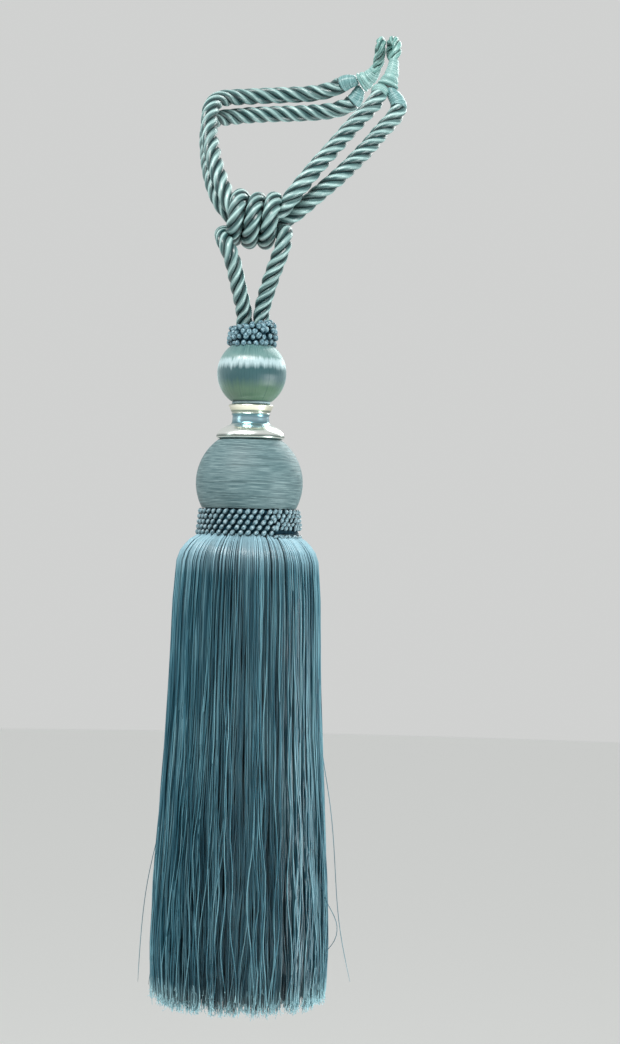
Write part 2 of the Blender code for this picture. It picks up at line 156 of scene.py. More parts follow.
def smooth_route(points, step, skip=0.0, leave=0.0):
    """Points and directions every step along the natural cubic spline through the given points."""
    knots = np.array(points, dtype=float)
    chord = np.linalg.norm(np.diff(knots, axis=0), axis=1)
    at = np.concatenate(([0.0], np.cumsum(chord)))
    count = len(knots)
    system = np.zeros((count, count))
    right = np.zeros((count, knots.shape[1]))
    system[0, 0] = system[-1, -1] = 1.0
    for i in range(1, count - 1):
        system[i, i - 1:i + 2] = chord[i - 1], 2.0 * (chord[i - 1] + chord[i]), chord[i]
        right[i] = 6.0 * ((knots[i + 1] - knots[i]) / chord[i] - (knots[i] - knots[i - 1]) / chord[i - 1])
    bend = np.linalg.solve(system, right)

    def sample(t):
        i = min(max(int(np.searchsorted(at, t)) - 1, 0), count - 2)
        h, a, b = chord[i], at[i + 1] - t, t - at[i]
        return ((bend[i] * a ** 3 + bend[i + 1] * b ** 3) / (6.0 * h)
                + (knots[i] / h - bend[i] * h / 6.0) * a + (knots[i + 1] / h - bend[i + 1] * h / 6.0) * b)

    fine = np.array([sample(t) for t in np.linspace(0.0, at[-1], 60 * count)])
    run = np.concatenate(([0.0], np.cumsum(np.linalg.norm(np.diff(fine, axis=0), axis=1))))
    length = run[-1] - skip - leave
    stations = np.linspace(skip, skip + length, max(2, round(length / step)) + 1)
    slope = np.gradient(fine[:, :3], axis=0)
    pick = [np.interp(stations, run, column) for column in (*fine.T, *slope.T)]
    return np.column_stack(pick[:-3]), np.column_stack(pick[-3:])


def run_of(centres):
    return np.concatenate(([0.0], np.cumsum(np.linalg.norm(np.diff(centres[:, :3], axis=0), axis=1))))


def carried_frames(heads, side):
    """A side and an up direction at each station, carried along the line without turning about it."""
    sides, ups = [], []
    for head in heads:
        ahead = Vector(head).normalized()
        side = (side - ahead * side.dot(ahead)).normalized()
        sides.append(side)
        ups.append(ahead.cross(side))
    return np.array(sides), np.array(ups)


def hang_on_root(obj, slot, *nodes):
    """Set a finished piece in its place on the tieback and hide the solids it stands for; slot is not used.
    """
    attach(obj, "root")
    if nodes:
        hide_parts(*nodes)
    return obj


def knit_mesh(name, points, faces, across, along, depth, finish, crease=CREASE):
    """An object from its points and faces, with thread coordinates at each face's corners.

    across counts the threads side by side and along runs down them. depth is 0 on top of a thread or strand
    and 1 at the foot of the groove beside it, and sets how much painted shade the finish lays there.
    """
    mesh = bpy.data.meshes.new(name)
    mesh.from_pydata(points, [], faces)
    threads = mesh.uv_layers.new(name="threads")
    threads.data.foreach_set("uv", np.column_stack((across, along)).ravel())
    groove = mesh.attributes.new("groove", "FLOAT", "POINT")
    groove.data.foreach_set("value", np.asarray(depth, dtype=np.float32))
    mesh.materials.append(finish)
    mesh.shade_smooth()
    mesh.set_sharp_from_angle(angle=crease)
    obj = bpy.data.objects.new(name, mesh)
    bpy.context.collection.objects.link(obj)
    return obj


def skin_rings(rings, across, along, closed=False):
    """Faces and thread coordinates for a skin through equal rings of points, with flat ends unless closed.

    across and along each hold, for every ring, one value more than a ring has points, or a pair of arrays
    for the near and the far side of each face.
    """
    count, width = rings.shape[:2]
    index = np.arange(count * width).reshape(count, width)
    if closed:
        index = np.vstack((index, index[:1]))
    low, high = index[:-1], index[1:]
    faces = np.stack((low, np.roll(low, -1, 1), np.roll(high, -1, 1), high), -1).reshape(-1, 4)
    near_u, far_u = across if isinstance(across, tuple) else (across[:, :-1], across[:, 1:])
    near_v, far_v = along if isinstance(along, tuple) else (along[:, :-1], along[:, 1:])
    if closed:
        near_u, far_u, near_v, far_v = (np.vstack((a, a[-1:] + a[1:2] - a[:1]))
                                        for a in (near_u, far_u, near_v, far_v))
    u = np.stack((near_u[:-1], far_u[:-1], far_u[1:], near_u[1:]), -1).ravel()
    v = np.stack((near_v[:-1], far_v[:-1], far_v[1:], near_v[1:]), -1).ravel()
    faces = faces.tolist()
    if not closed:
        faces += [index[0][::-1].tolist(), index[-1].tolist()]
        u = np.concatenate((u, near_u[0][::-1], near_u[-1]))
        v = np.concatenate((v, near_v[0][::-1], near_v[-1]))
    return faces, u, v


def strand_reach(angles, strands):
    """How far a rope of unit radius reaches at each angle from the middle of a strand."""
    out, tall, wide = STRAND_OVALS[strands]
    a = (np.cos(angles) / tall) ** 2 + (np.sin(angles) / wide) ** 2
    b = -2.0 * out * np.cos(angles) / tall ** 2
    c = (out / tall) ** 2 - 1.0
    return (-b + np.sqrt(np.maximum(b * b - 4.0 * a * c, 0.0))) / (2.0 * a)


def press(reach, directions, centre, neighbours):
    """Flatten the rope's side halfway to each neighbouring centre line."""
    for centres in neighbours:
        apart = centres - centre
        distance = np.linalg.norm(apart, axis=1)
        near = distance < 2.0 * ROPE_D
        if near.any():
            towards = directions @ (apart[near] / distance[near][:, None]).T
            room = (distance[near] - PRESS_GAP) / 2.0 / np.maximum(towards, 0.05)
            reach = np.minimum(reach, np.where(towards > 0.05, room, np.inf).min(axis=1))
    return reach


def lay_up(name, line, diameter, strands, lay, finish, neighbours=(), closed=False):
    """One rope of the given strands, laid up right-handed along its centre line."""
    centres, heads = line
    runs = run_of(centres)
    sides, ups = carried_frames(heads, Vector((0.0, 0.0, 1.0)) if closed else Vector((1.0, 0.0, 0.0)))
    half = math.pi / strands
    offsets = np.linspace(-half, half, STRAND_COLUMNS + 1)
    start = np.concatenate([2.0 * half * k + offsets[:-1] for k in range(strands)])
    shape = np.tile(strand_reach(offsets[:-1], strands), strands)
    number = np.repeat(np.arange(strands), STRAND_COLUMNS)
    rings, depths = [], []
    for centre, run, side, up in zip(centres, runs, sides, ups):
        angles = start + math.tau * run / lay
        directions = np.outer(np.cos(angles), side) + np.outer(np.sin(angles), up)
        plump = sum((much * np.sin(run * often + number * step) for much, often, step in PLUMP_WAVES), 1.0)
        reach = press(shape * plump * diameter / 2.0, directions, centre,
                      [*neighbours, centres[np.abs(runs - run) > OWN_TURNS * diameter]])
        rings.append(centre + directions * reach[:, None])
        # How deep each point lies towards the groove between strands: it sets the painted shade there.
        depths.append((1.0 - shape) / (1.0 - shape.min()))
    rings = np.array(rings)
    near = np.tile(np.tile(offsets[:-1] / half, strands), (len(rings), 1))
    far = np.tile(np.tile(offsets[1:] / half, strands), (len(rings), 1))
    down = runs[:, None] * 1000.0 + number[None, :] * STRAND_SHIFT
    faces, u, v = skin_rings(rings, (near, far), (down, down), closed)
    return knit_mesh(name, rings.reshape(-1, 3), faces, u, v, np.array(depths).ravel(), finish)


def set_sockets(tree, node, settings):
    """Set each input of a node to its value, or join it to another node's output."""
    for socket, value in settings.items():
        if isinstance(value, bpy.types.NodeSocket):
            tree.links.new(value, node.inputs[socket])
        else:
            node.inputs[socket].default_value = value


def add_node(tree, kind, settings, **options):
    node = tree.nodes.new("ShaderNode" + kind)
    for option, choice in options.items():
        setattr(node, option, choice)
    set_sockets(tree, node, settings)
    return node


def streaky_noise(tree, place, stretch, detail, roughness, **options):
    stretched = add_node(tree, "Mapping", {"Scale": stretch, "Vector": place}).outputs["Vector"]
    settings = {"Scale": 1.0, "Vector": stretched, "Detail": detail, "Roughness": roughness}
    return add_node(tree, "TexNoise", settings, **options).outputs["Fac"]


def scaled(tree, value, start, end, low, high):
    settings = {"Value": value, "From Min": start, "From Max": end, "To Min": low, "To Max": high}
    return add_node(tree, "MapRange", settings).outputs["Result"]


def shades_along(tree, value, stops):
    ramp = add_node(tree, "ValToRGB", {"Fac": value})
    elements = ramp.color_ramp.elements
    while len(elements) < len(stops):
        elements.new(0.5)
    for element, (place, shade) in zip(elements, stops):
        element.position = float(place)
        element.color = (*shade, 1.0)
    return ramp.outputs["Color"]


def lay_over(tree, colour, shade, share, way="MIX"):
    settings = {"Factor": share, "A": colour, "B": (*shade, 1.0)}
    return add_node(tree, "Mix", settings, data_type="RGBA", blend_type=way).outputs["Result"]


def new_finish(name):
    finish = bpy.data.materials.new(name)
    finish.use_nodes = True
    return finish, finish.node_tree, finish.node_tree.nodes["Principled BSDF"]


def satin_thread(name, shades, painted_groove_shade, streaks, ridge, gloss, lean=0.0, spread=0.12, sink=1.1,
                 shine=0.5, sheen=0.05, fades=(), ragged=0.0, crown=None):
    """Lustrous viscose thread: fine filaments side by side, each its own shade, with painted shade in the
    grooves.

    streaks is (filaments per unit across, length of a shade along the thread). ridge is the height of a
    filament in metres. lean is how far the gloss stretches across the threads. A small spread keeps the
    shades apart. The groove shade is painted shade, laid down in the grooves by the mesh's groove depth,
    and a small sink starts it from higher up. Each of the fades is a shade, how much of it shows, and the
    places along the thread where it starts and where it is full, which vary by ragged from thread to
    thread; on the small ball the fades are painted light and shade, and at the skirt's head a painted
    highlight. crown is a painted highlight on top of each strand: the shade added, how much of it shows,
    and how far down towards the groove it reaches.
    """
    finish, tree, shader = new_finish(name)
    threads = add_node(tree, "UVMap", {}, uv_map="threads").outputs["UV"]

    def filaments(finer, shorter, detail):
        stretch = (streaks[0] * finer, shorter / streaks[1], 1.0)
        return streaky_noise(tree, threads, stretch, detail, 0.62, noise_dimensions="2D")

    places = np.linspace(0.5 - spread, 0.5 + spread, len(shades))
    colour = shades_along(tree, filaments(1.0, 1.0, 3.0), list(zip(places, shades)))
    run = add_node(tree, "SeparateXYZ", {"Vector": threads}).outputs["Y"]
    settings = {0: filaments(0.4, 0.5, 3.0), 1: ragged, 2: run}
    uneven = add_node(tree, "Math", settings, operation="MULTIPLY_ADD").outputs["Value"]
    late = ragged / 2.0
    for shade, share, start, full in fades:
        colour = lay_over(tree, colour, shade, scaled(tree, uneven, start + late, full + late, 0.0, share))
    groove = add_node(tree, "Attribute", {}, attribute_name="groove").outputs["Fac"]
    # Painted highlight: a paler shade added on top of each strand's crown.
    if crown:
        shade, share, reach = crown
        colour = lay_over(tree, colour, shade, scaled(tree, groove, 0.0, reach, share, 0.0), "ADD")
    # Painted shade: the groove shade is laid over the grooves by their depth.
    sunk = add_node(tree, "Math", {0: groove, 1: sink}, operation="POWER").outputs["Value"]
    raised = add_node(tree, "Bump", {"Distance": ridge, "Height": filaments(2.3, 0.4, 2.0)})
    set_sockets(tree, shader, {
        "Base Color": lay_over(tree, colour, painted_groove_shade, sunk), "Normal": raised.outputs["Normal"],
        "Roughness": scaled(tree, filaments(1.7, 0.6, 2.0), 0.0, 1.0, gloss - 0.06, gloss + 0.10),
        "Sheen Weight": sheen, "Sheen Roughness": 0.4, "Sheen Tint": (0.70, 0.90, 0.92, 1.0),
        "Specular IOR Level": shine,
    })
    if lean:
        grain = add_node(tree, "Tangent", {}, direction_type="UV_MAP", uv_map="threads").outputs["Tangent"]
        set_sockets(tree, shader, {"Anisotropic": lean, "Tangent": grain})
    return finish


# The rope's satin: painted shade in the grooves, a painted highlight on each strand's crown.
rope_satin = satin_thread(
    "rope_satin",
    ((0.038, 0.116, 0.119), (0.080, 0.183, 0.181), (0.138, 0.258, 0.251), (0.250, 0.396, 0.386)),
    (0.001, 0.014, 0.017), (2.0, 12.0), 0.00010, 0.32, spread=0.11, sink=0.42, shine=0.5,
    crown=((0.250, 0.310, 0.303), 0.72, 0.16))
wound_satin = satin_thread(
    "wound_satin", ((0.135, 0.275, 0.262), (0.218, 0.388, 0.370), (0.330, 0.520, 0.498)),
    (0.020, 0.070, 0.074), (0.9, 14.0), 0.00003, 0.38, lean=0.6)
# The sleeves' thread: the whipping thread again, darker, a copy in painted shade.
painted_shade_satin = satin_thread(
    "painted_shade_satin", ((0.085, 0.200, 0.205), (0.140, 0.280, 0.285), (0.220, 0.390, 0.395)),
    (0.010, 0.050, 0.056), (0.9, 14.0), 0.00003, 0.38, lean=0.6)


# The rope that the tassel hangs on: one length of the same satin cord. It comes up from the tassel, goes
# round both ropes in two and a half turns, and goes back down, so that the turns bind the ropes together.
CORD_D = 0.0077
CORD_LAY = 0.0232
KNOT_X = -0.0508
KNOT_Z = -0.0905
KNOT_HALF_DEPTH = 0.0126
KNOT_HALF_HEIGHT = 0.0094
KNOT_TURNS = 2.45
KNOT_PITCH = 0.0077
KNOT_RISE = 0.0022
KNOT_RISE_FROM = 1.4
KNOT_STEPS = 20
RIGHT_LEG = metres(
    (-564, -405, -1402), (-561, -406, -1376), (-560, -410, -1334), (-544, -434, -1260), (-516, -464, -1170),
    (-485, -488, -1086), (-465, -496, -1020), (-462, -470, -972), (-464, -410, -958), (-468, -346, -956),
    (-478, -294, -934),
)
LEFT_LEG = metres(
    (-700, -324, -974), (-722, -292, -956), (-742, -320, -956), (-745, -384, -972), (-740, -450, -992),
    (-727, -498, -1024), (-709, -520, -1064), (-693, -512, -1110), (-676, -490, -1174), (-656, -456, -1258),
    (-639, -414, -1334), (-636, -406, -1376), (-634, -405, -1402),
)


def knot_route():
    turns = []
    for i in range(KNOT_STEPS + 1):
        t = KNOT_TURNS * i / KNOT_STEPS
        angle = math.tau * t
        middle = KNOT_Z + KNOT_RISE * max(0.0, t - KNOT_RISE_FROM)
        turns.append((KNOT_X - KNOT_PITCH * t, TASSEL_Y - KNOT_HALF_DEPTH * math.sin(angle),
                      middle + KNOT_HALF_HEIGHT * math.cos(angle)))
    return RIGHT_LEG + tuple(turns) + LEFT_LEG


def hang_rope(name, node, line, diameter, strands, lay, finish, neighbours):
    """One rope or cord, laid up and hung in its solid's place."""
    rope = lay_up(name, line, diameter, strands, lay, finish, neighbours)
    hang_on_root(rope, "rope_satin", node)


ROUTES = {"upper": UPPER_ROUTE, "lower": LOWER_ROUTE, "tassel": knot_route()}
cores = {label: smooth_route(route, CORE_STEP)[0] for label, route in ROUTES.items()}
for label in ("upper", "lower"):
    front, back = WRAP_LENGTHS[label]
    bare = smooth_route(ROUTES[label], FINE_STEP, front + PRESS_GAP, back + PRESS_GAP)
    beside = [core for other, core in cores.items() if other != label]
    hang_rope("rope_" + label, "embrace_rope_" + label, bare, ROPE_D, 4, ROPE_LAYS[label], rope_satin,
              beside)
hang_rope("tassel_rope", "tassel_cord", smooth_route(ROUTES["tassel"], FINE_STEP), CORD_D, 4, CORD_LAY,
          rope_satin, [cores["upper"], cores["lower"]])


# The hanging loops: a thin three-strand cord, doubled into an eye at each end of the tieback and bound in
# by the whipping. The whole tieback hangs from the two eyes.
EYE_D = 0.0046
EYE_LAY = 0.0170
EYE_STEP = 0.0006
FRONT_EYE = metres(
    (32, -98, -102), (35, -99, -74), (44, -95, -48), (47, -76, -10), (35, -40, 18), (26, -2, 24),
    (21, 34, 6), (22, 32, -28), (29, -6, -56), (32, -43, -66), (34, -51, -83), (32, -62, -104),
)
BACK_EYE = metres(
    (-50, 56, -112), (-40, 44, -90), (-34, 36, -76), (-28, 0, -48), (-26, -32, -12), (-26, -12, 19),
    (-28, 22, 23), (-32, 58, 4), (-36, 79, -34), (-39, 86, -65), (-48, 90, -96),
)
# The eye cords' satin is a paler copy of the rope's: painted light for the bright light on the eyes.
eye_satin = satin_thread(
    "eye_satin", ((0.060, 0.170, 0.155), (0.115, 0.260, 0.240), (0.190, 0.360, 0.335), (0.300, 0.480, 0.450)),
    (0.004, 0.040, 0.036), (2.2, 6.0), 0.00005, 0.32, spread=0.17)
eyes = {"front": smooth_route(FRONT_EYE, EYE_STEP), "back": smooth_route(BACK_EYE, EYE_STEP)}
for side, other in (("front", "back"), ("back", "front")):
    hang_rope("eye_cord_" + side, "hanging_loop_" + side, eyes[side], EYE_D, 3, EYE_LAY, eye_satin,
              [eyes[other][0]])


# The whippings and wraps: fine satin thread wound tightly, turn by turn, over the two rope ends and the
# eye's tails, and on round each rope by itself. The winding ends in a raised rim.
WHIPPINGS = {       # x, y, z, half width and half depth down each binding
    "front": metres(
        (34, -76, -86, 24, 49), (28, -86, -136, 30, 46), (16, -98, -182, 41, 42), (6, -106, -214, 52, 39),
    ),
    "back": metres(
        (-44, 70, -86, 25, 47), (-59, 86, -114, 31, 44), (-86, 102, -139, 42, 40),
        (-116, 115, -155, 52, 37),
    ),
}
TURN_PITCH = 0.00046
TURN_HEIGHT = 0.00006
TURN_ROWS = 5           # rings of points to a turn of thread
TURN_SLANT = (0.35, 0.7)    # how far a turn leans, in turns, and which way
PAINTED_TURN_SHADE = 0.55      # how much painted shade lies between two turns
WIND_COLUMNS = 44
WIND_ROUND = 27.0       # the thread coordinate once round a winding
WRAP_TIP = 0.0023       # a wrap's half width at the whipping, and at the rope
WRAP_FULL = ROPE_D / 2.0 - 0.0001
LIP_LENGTH = 0.0007     # the first and last turns slip down round the end
LIP_DROP = 0.0008
# How full each winding is along its length: share of the length, change of the half width in metres.
SWELLS = {
    "whipping": ((0.0, -0.0002), (0.12, 0.0), (0.52, 0.0001), (0.60, -0.0005), (0.68, 0.0), (0.80, 0.0001),
                 (0.86, -0.0006), (0.93, 0.0002), (1.0, 0.0)),
    "ring": ((0.0, 0.0002), (0.16, 0.0007), (0.24, 0.0002), (0.36, 0.0011), (0.62, 0.0010), (0.74, 0.0001),
             (0.86, 0.0002), (1.0, -0.0001)),
    "sleeve": ((0.0, 0.0), (0.25, 0.0003), (0.62, 0.0003), (0.70, 0.0001), (0.80, 0.0003), (1.0, 0.0)),
}


def wind(name, line, widths, depths, swell, finish):
    """Thread wound round a line in close turns, oval in section."""
    centres, heads = line
    centres = centres[:, :3]
    runs = run_of(centres)
    share, change = zip(*SWELLS[swell])
    swells = np.interp(runs / runs[-1], share, change)
    to_end = np.clip(np.minimum(runs, runs[-1] - runs) / LIP_LENGTH, 0.0, 1.0)
    swells -= LIP_DROP * (1.0 - np.sqrt(1.0 - (1.0 - to_end) ** 2))
    sides, ups = carried_frames(heads, Vector((1.0, 0.0, 0.0)))
    angles = math.tau * np.arange(WIND_COLUMNS) / WIND_COLUMNS
    lean, way = TURN_SLANT
    turns = runs[:, None] / TURN_PITCH + lean * np.sin(angles + way)[None, :]
    crown = np.abs(np.cos(math.pi * turns))
    ridge = TURN_HEIGHT * (crown - 1.0)
    wide = widths[:, None] + swells[:, None] + ridge
    deep = depths[:, None] + swells[:, None] + ridge
    rings = (centres[:, None, :] + sides[:, None, :] * (wide * np.cos(angles))[..., None]
             + ups[:, None, :] * (deep * np.sin(angles))[..., None])
    around = np.tile(np.arange(WIND_COLUMNS + 1) * (WIND_ROUND / WIND_COLUMNS), (len(runs), 1))
    across = np.tile(runs[:, None] / TURN_PITCH, (1, WIND_COLUMNS + 1))
    faces, u, v = skin_rings(rings, across, around)
    # Painted shade between the turns.
    return knit_mesh(name, rings.reshape(-1, 3), faces, u, v, (1.0 - crown).ravel() * PAINTED_TURN_SHADE, finish)


for side, stations in WHIPPINGS.items():
    swept = smooth_route(stations, TURN_PITCH / TURN_ROWS)
    piece = wind("binding_" + side, swept, swept[0][:, 3], swept[0][:, 4], "whipping", wound_satin)
    hang_on_root(piece, "whipping_thread", "whipping_" + side)
# The ring keeps the paler thread for its painted highlight; the sleeves take the copy in painted shade.
WINDINGS = (        # which end of which rope, how full it is wound, and in what
    ("front", "upper", "ring", wound_satin), ("back", "upper", "sleeve", painted_shade_satin),
    ("front", "lower", "sleeve", painted_shade_satin), ("back", "lower", "sleeve", painted_shade_satin),
)
for side, label, swell, finish in WINDINGS:
    front, back = WRAP_LENGTHS[label]
    whole = run_of(cores[label])[-1]
    skip, leave = (0.0, whole - front) if side == "front" else (whole - back, 0.0)
    line = smooth_route(ROUTES[label], TURN_PITCH / TURN_ROWS, skip, leave)
    widths = np.linspace(WRAP_TIP, WRAP_FULL, len(line[0]))
    widths = widths if side == "front" else widths[::-1]
    piece = wind(f"winding_{side}_{label}", line, widths, widths, swell, finish)
    hang_on_root(piece, "whipping_thread", f"wrap_{side}_{label}")


# The ruff: looped yarn gathered tightly round the feet of the tassel's rope, so that only the rounded tops
# of its loops show, over a near-black core that is painted shade for the gaps between them.
RUFF_TOP = -0.1384
RUFF_FOOT = -0.1482
RUFF_R = 0.0112
RUFF_BULGE = (0.80, 0.98, 1.0, 1.0, 0.97, 0.90)     # its radius down from the top, in RUFF_R
RUFF_TILT = 0.0014      # its top stands higher at the right
RUFF_CORE_IN = 0.0016   # how far inside the outline the core lies
KNOB_ROWS = 4
KNOBS_AROUND = 22
KNOB_R = 0.00160
KNOB_IN = 0.0009
KNOB_FLAT = 0.82        # a loop's width for its height
KNOB_TUCK = 0.94        # how far round its ends go in, and how far they bend down
KNOB_BEND = 0.30
TOP_RINGS = ((0.0082, 14), (0.0052, 9))     # radius of each ring of loops on top, and how many loops


def turn(name, radii, heights, across, along, depth, finish, crease=CREASE):
    """A skin turned about the tassel's upright axis, top to bottom, with its seam at the back."""
    columns = radii.shape[1]
    angles = math.pi / 2.0 - math.tau * np.arange(columns) / columns
    rings = np.stack((TASSEL_X + radii * np.cos(angles), TASSEL_Y + radii * np.sin(angles), heights), -1)
    faces, u, v = skin_rings(rings, across, along)
    return knit_mesh(name, rings.reshape(-1, 3), faces, u, v, np.broadcast_to(depth, radii.shape).ravel(),
                     finish, crease)


def turned_core(name, profile, finish, columns=64, crease=CREASE):
    """A plain turned body from (radius, z) pairs."""
    radii, z = (np.array(values, dtype=float) for values in zip(*profile))
    radii = np.repeat(radii[:, None], columns, 1)
    heights = np.repeat(z[:, None], columns, 1)
    around = np.tile(np.linspace(0.0, 100.0, columns + 1), (len(z), 1))
    down = np.tile(((z[0] - z) * 2000.0)[:, None], (1, columns + 1))
    return turn(name, radii, heights, around, down, 0.0, finish, crease)


def knob_form(rings=8, columns=10, taper=0.75):
    """A rounded stitch of unit half sizes, its ends tucked in: points, faces and thread coordinates."""
    at = np.sin(np.linspace(-0.5, 0.5, rings) * math.pi * KNOB_TUCK)
    full = (1.0 - at ** 2) ** (0.5 * taper)
    angles = math.tau * np.arange(columns) / columns
    points = np.stack((np.repeat(at[:, None], columns, 1), full[:, None] * np.cos(angles),
                       full[:, None] * np.sin(angles) - KNOB_BEND * at[:, None] ** 2), -1)
    across = np.tile(np.arange(columns + 1) * (6.0 / columns), (rings, 1))
    along = np.tile(at[:, None] * 3.0, (1, columns + 1))
    faces, u, v = skin_rings(points, across, along)
    return points.reshape(-1, 3), faces, u, v


def many_knobs(name, places, form, finish):
    """One mesh of many stitches. Each place is a middle, three directions with their sizes, and a number."""
    base, faces, u, v = form
    points, all_faces, across, along, depth = [], [], [], [], []
    for k, (middle, ahead, side, out) in enumerate(places):
        points.append(np.array(middle) + base @ np.array((ahead, side, out)))
        all_faces += [tuple(i + k * len(base) for i in face) for face in faces]
        across.append(u + 13.0 * k)
        along.append(v + 7.0 * k)
        # Painted shade down the sides and underside of each stitch; its top stays pale.
        depth.append(np.clip(0.60 - base[:, 2], 0.0, 1.0))
    return knit_mesh(name, np.concatenate(points), all_faces, np.concatenate(across), np.concatenate(along),
                     np.concatenate(depth), finish)


def outward(theta):
    """Away from the tassel's axis, theta from the room side towards the right, and to the right of that."""
    return Vector((math.sin(theta), -math.cos(theta), 0.0)), Vector((math.cos(theta), math.sin(theta), 0.0))


ruff_yarn = satin_thread(
    "ruff_yarn", ((0.036, 0.105, 0.140), (0.088, 0.190, 0.235), (0.230, 0.370, 0.420)),
    (0.000, 0.018, 0.030), (1.6, 2.0), 0.00010, 0.38, sink=0.6)
# The core yarn is near black: painted shade for the gaps between loops and under other parts.
painted_shade_core = satin_thread(
    "painted_shade_core", ((0.001, 0.014, 0.024), (0.003, 0.028, 0.045)), (0.001, 0.010, 0.018), (1.0, 6.0), 0.00010,
    0.7, shine=0.1)
ruff_heights = np.linspace(RUFF_TOP, RUFF_FOOT, len(RUFF_BULGE))
ruff_sides = [(RUFF_R * b - RUFF_CORE_IN, z) for b, z in zip(RUFF_BULGE[1:], ruff_heights[1:])]
hang_on_root(turned_core("ruff_core", ruff_sides, painted_shade_core), "ruff_yarn")
shaker = random.Random(11)
knobs = []
for row in range(KNOB_ROWS):
    share = (row + 0.5) / KNOB_ROWS
    around = RUFF_R * float(np.interp(share, np.linspace(0.0, 1.0, len(RUFF_BULGE)), RUFF_BULGE)) - KNOB_IN
    for k in range(KNOBS_AROUND):
        theta = math.tau * (k + 0.5 * (row % 2) + shaker.uniform(-0.20, 0.20)) / KNOBS_AROUND
        out, right = outward(theta)
        rise = RUFF_TILT * math.sin(theta) * (1.0 - share)
        z = RUFF_TOP + (RUFF_FOOT - RUFF_TOP) * share + rise + shaker.uniform(-0.0006, 0.0006)
        tilt = shaker.uniform(-0.9, 0.9)
        ahead = right * math.sin(tilt) + Vector((0.0, 0.0, math.cos(tilt)))
        size = KNOB_R * shaker.uniform(0.75, 1.10)
        knobs.append((Vector((TASSEL_X, TASSEL_Y, z)) + out * (around + shaker.uniform(-0.0004, 0.0006)),
                      ahead * size, ahead.cross(out) * (size * KNOB_FLAT), out * size))
for ring, count in TOP_RINGS:
    for k in range(count):
        theta = math.tau * (k + shaker.uniform(-0.2, 0.2)) / count
        out, right = outward(theta)
        top = Vector((TASSEL_X, TASSEL_Y, RUFF_TOP - 0.0006 + RUFF_TILT * math.sin(theta))) + out * ring
        size = KNOB_R * shaker.uniform(0.85, 1.1)
        knobs.append((top, right * size, out * (size * 0.85), Vector((0.0, 0.0, size))))
hang_on_root(many_knobs("ruff_loops", knobs, knob_form(), ruff_yarn), "ruff_yarn", "ruff")


# The small ball: a turned wooden ball under satin thread that is laid side by side from the hole at the top
# to the hole at the foot, so the gloss runs round it as a band. The thread's colour also carries a painted
# highlight band, with painted light above it and painted shade and a painted reflection below it.
BALL_1_Z = -0.1607
BALL_1_R = 0.0159
BALL_1_CUT = 0.0128
BALL_1_THREADS = 210
BALL_1_COLUMNS = 4      # columns of points to a thread
BALL_1_ROWS = 56
BALL_1_RELIEF = (0.00003, 0.00001, 0.00003)     # a thread's crown, its unevenness, a sunken one's depth
BALL_CREASE = math.radians(80.0)


def ball_arc(radius, cut_top, cut_foot):
    return math.acos(cut_top / radius), math.pi - math.acos(cut_foot / radius)


def upright_threads(name, finish):
    """The small ball's skin, with a low crown for each thread and here and there a sunken one."""
    rng = np.random.default_rng(5)
    start, end = ball_arc(BALL_1_R, BALL_1_CUT, BALL_1_CUT)
    polar = np.linspace(start, end, BALL_1_ROWS + 1)
    columns = BALL_1_THREADS * BALL_1_COLUMNS
    crown = np.abs(np.sin(math.pi * np.arange(columns) / BALL_1_COLUMNS))
    proud = rng.uniform(-1.0, 1.0, BALL_1_THREADS).repeat(BALL_1_COLUMNS)
    sunk = (rng.uniform(0.0, 1.0, BALL_1_THREADS) > 0.90).repeat(BALL_1_COLUMNS)
    high, uneven, deep = BALL_1_RELIEF
    reach = BALL_1_R + high * (crown - 1.0) + uneven * proud - deep * sunk
    radii = np.sin(polar)[:, None] * reach[None, :]
    heights = BALL_1_Z + np.cos(polar)[:, None] * reach[None, :]
    across = np.tile(np.arange(columns + 1) / BALL_1_COLUMNS, (len(polar), 1))
    along = np.tile(((polar - start) * BALL_1_R * 1000.0)[:, None], (1, columns + 1))
    # Painted shade between the threads and down in the sunken ones.
    depth = np.tile(np.clip((1.0 - crown) * 0.4 + 0.15 * sunk, 0.0, 1.0), (len(polar), 1))
    return turn(name, radii, heights, across, along, depth, finish, BALL_CREASE)


# Painted light down the ball: paler top, pale highlight band, shade band below it, olive reflection low.
ball_satin = satin_thread(
    "ball_satin", ((0.045, 0.115, 0.118), (0.072, 0.155, 0.153), (0.110, 0.210, 0.200)),
    (0.012, 0.050, 0.054), (0.75, 30.0), 0.00002, 0.28, lean=0.9, shine=0.4, sheen=0.7,
    fades=(((0.110, 0.215, 0.205), 0.7, 3.0, 6.0), ((0.400, 0.520, 0.550), 0.9, 7.8, 9.4),
           ((0.007, 0.052, 0.060), 0.94, 11.0, 13.6), ((0.082, 0.160, 0.084), 0.80, 18.0, 23.0)), ragged=5.0)
hang_on_root(upright_threads("threaded_ball", ball_satin), "small_ball_thread", "small_ball")


